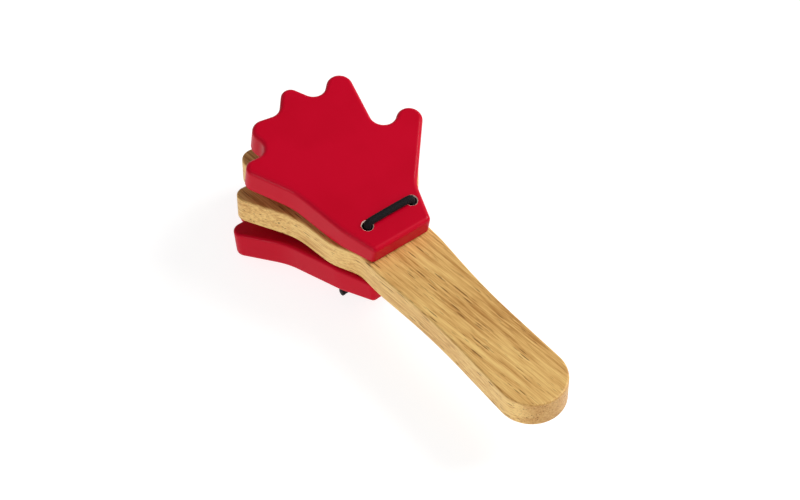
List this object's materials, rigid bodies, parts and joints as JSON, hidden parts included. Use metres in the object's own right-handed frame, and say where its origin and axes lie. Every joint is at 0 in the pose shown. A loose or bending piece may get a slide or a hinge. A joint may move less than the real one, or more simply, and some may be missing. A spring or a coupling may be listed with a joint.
{
  "type": "hand castanets",
  "caption": "Hand-shaped castanets on a paddle handle: red clappers strung above and below a flat wooden hand on a loop of elastic cord.",
  "frame": {"origin": "middle of the board's flat underside at the neck, where the hand meets the handle", "axes": "+Z out of the board's upper face, +Y from the handle towards the fingers, +X towards the thumb"},
  "size_m": [0.0773, 0.1703, 0.0535],
  "materials": {
    "wood": "clear satin varnish over open-grained light brown wood",
    "red_lacquer": "satin red lacquer over wood",
    "elastic": "black braided round elastic"
  },
  "bodies": {
    "board": {"handle_board": "wood"},
    "upper_clapper": {"upper_clapper": "red_lacquer"},
    "lower_clapper": {"lower_clapper": "red_lacquer", "elastic_cord": "elastic", "cord_knot": "elastic"}
  },
  "joints": [
    {"name": "upper_clapper_rock", "type": "hinge", "parent": "board", "child": "upper_clapper", "pos_m": [0.00022, 0.02453, 0.0151], "axis": [-0.9998, 0.0209, 0], "range_deg": [0, 9.2], "stiffness_Nm_per_rad": 0.25, "springref_deg": -11.46, "deforming": ["elastic_cord"]},
    {"name": "lower_clapper_rock", "type": "hinge", "parent": "board", "child": "lower_clapper", "pos_m": [-0.00052, 0.02441, -0.0031], "axis": [0.9987, 0.0506, 0], "range_deg": [0, 8], "stiffness_Nm_per_rad": 0.25, "springref_deg": -11.46, "deforming": ["elastic_cord"]}
  ]
}
